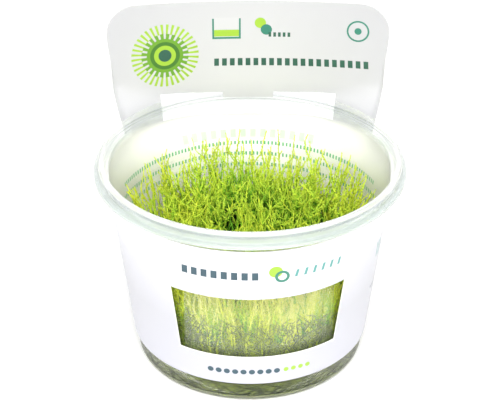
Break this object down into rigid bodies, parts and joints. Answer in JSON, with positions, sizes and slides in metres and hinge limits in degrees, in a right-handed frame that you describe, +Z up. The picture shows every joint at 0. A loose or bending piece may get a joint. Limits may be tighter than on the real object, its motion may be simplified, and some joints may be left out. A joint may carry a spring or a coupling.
{
  "type": "tissue culture moss in a clear cup",
  "caption": "Creeping feather moss grown on gel in a clear culture cup, with a white card sleeve, front window and tall header.",
  "frame": {"origin": "centre of the cup's flat foot, on the surface it stands on", "axes": "+Z up along the cup's axis, the sleeve's window faces -Y and its header stands at +Y"},
  "size_m": [0.1, 0.0998, 0.1035],
  "materials": {
    "clear_plastic": "clear moulded polypropylene, glossy",
    "gel": "cloudy set agar gel, moist",
    "moss": "living moss, moist green shoots",
    "card": "thin white coated card, smooth, printed"
  },
  "bodies": {
    "root": {"cup": "clear_plastic", "nutrient_gel": "gel", "moss": "moss", "sleeve": "card"}
  },
  "joints": []
}
